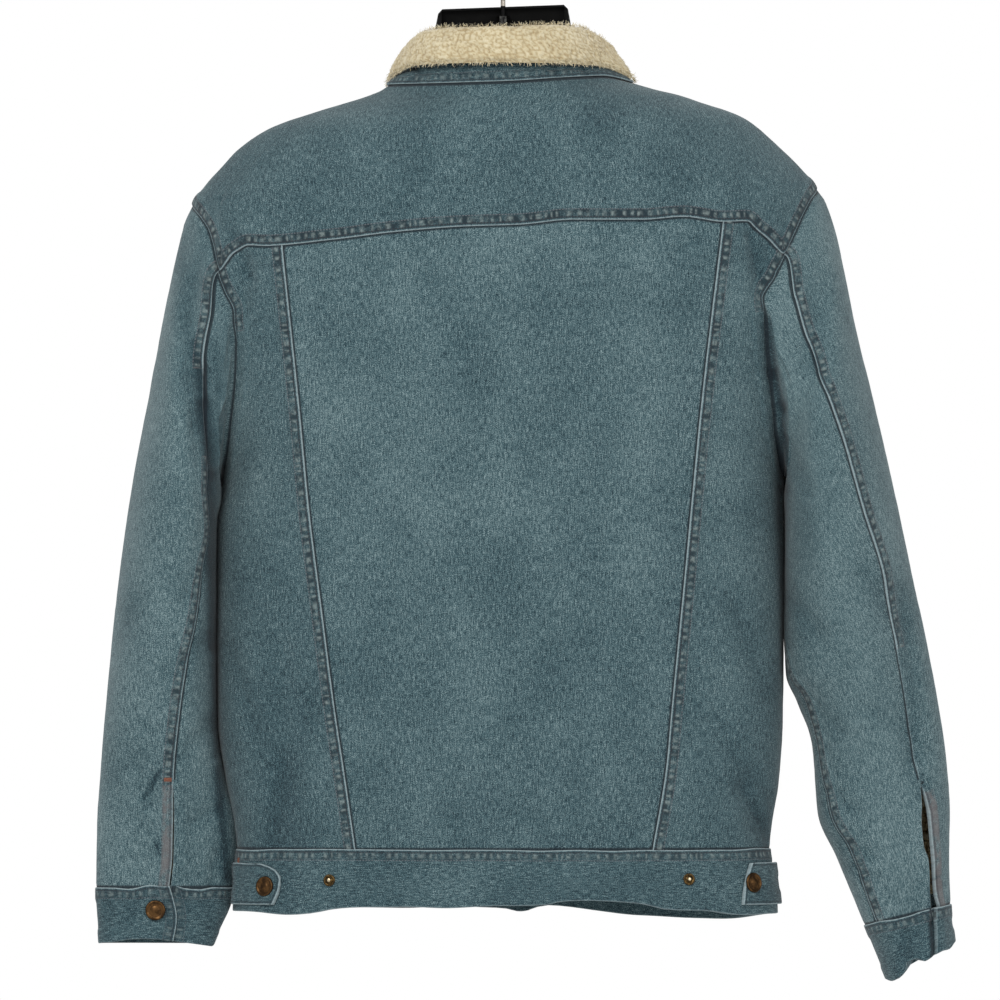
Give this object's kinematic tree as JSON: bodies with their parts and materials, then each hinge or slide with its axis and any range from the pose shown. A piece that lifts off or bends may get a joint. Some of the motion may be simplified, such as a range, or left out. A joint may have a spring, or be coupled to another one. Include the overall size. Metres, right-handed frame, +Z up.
{
  "type": "sherpa lined denim jacket on a clothes hanger",
  "caption": "Denim trucker jacket with a deep pile collar and lining, buttoned up and filled out as if worn, hanging on a broad moulded hanger with a wire hook.",
  "frame": {"origin": "the inner top of the hook, where a rail carries it", "axes": "+Z up, +X to the wearer's left, +Y out of the jacket's back"},
  "size_m": [0.7076, 0.2066, 0.8765],
  "materials": {
    "denim": "matt washed twill",
    "sherpa": "curly cream pile",
    "plastic": "black, half gloss",
    "steel": "bright wire",
    "copper": "antique copper, worn"
  },
  "bodies": {
    "root": {"back_yoke": "denim", "back_centre": "denim", "back_side_left": "denim", "back_side_right": "denim", "front_left": "denim", "front_right": "denim", "placket_left": "denim", "placket_right": "denim", "waistband_back": "denim", "waistband_left": "denim", "waistband_right": "denim", "waist_tab_left": "denim", "waist_tab_right": "denim", "top_sleeve_left": "denim", "top_sleeve_right": "denim", "under_sleeve_left": "denim", "under_sleeve_right": "denim", "cuff_left": "denim", "cuff_right": "denim", "collar_under": "denim", "collar_sherpa": "sherpa", "hanger": "plastic", "hook": "steel", "hook_nut": "steel", "waist_button_left": "copper", "waist_button_right": "copper", "waist_stud_left": "copper", "waist_stud_right": "copper", "cuff_button_left": "copper", "cuff_button_right": "copper", "front_button_1": "copper", "front_button_2": "copper", "front_button_3": "copper", "front_button_4": "copper", "front_button_5": "copper", "front_button_6": "copper"}
  },
  "joints": []
}
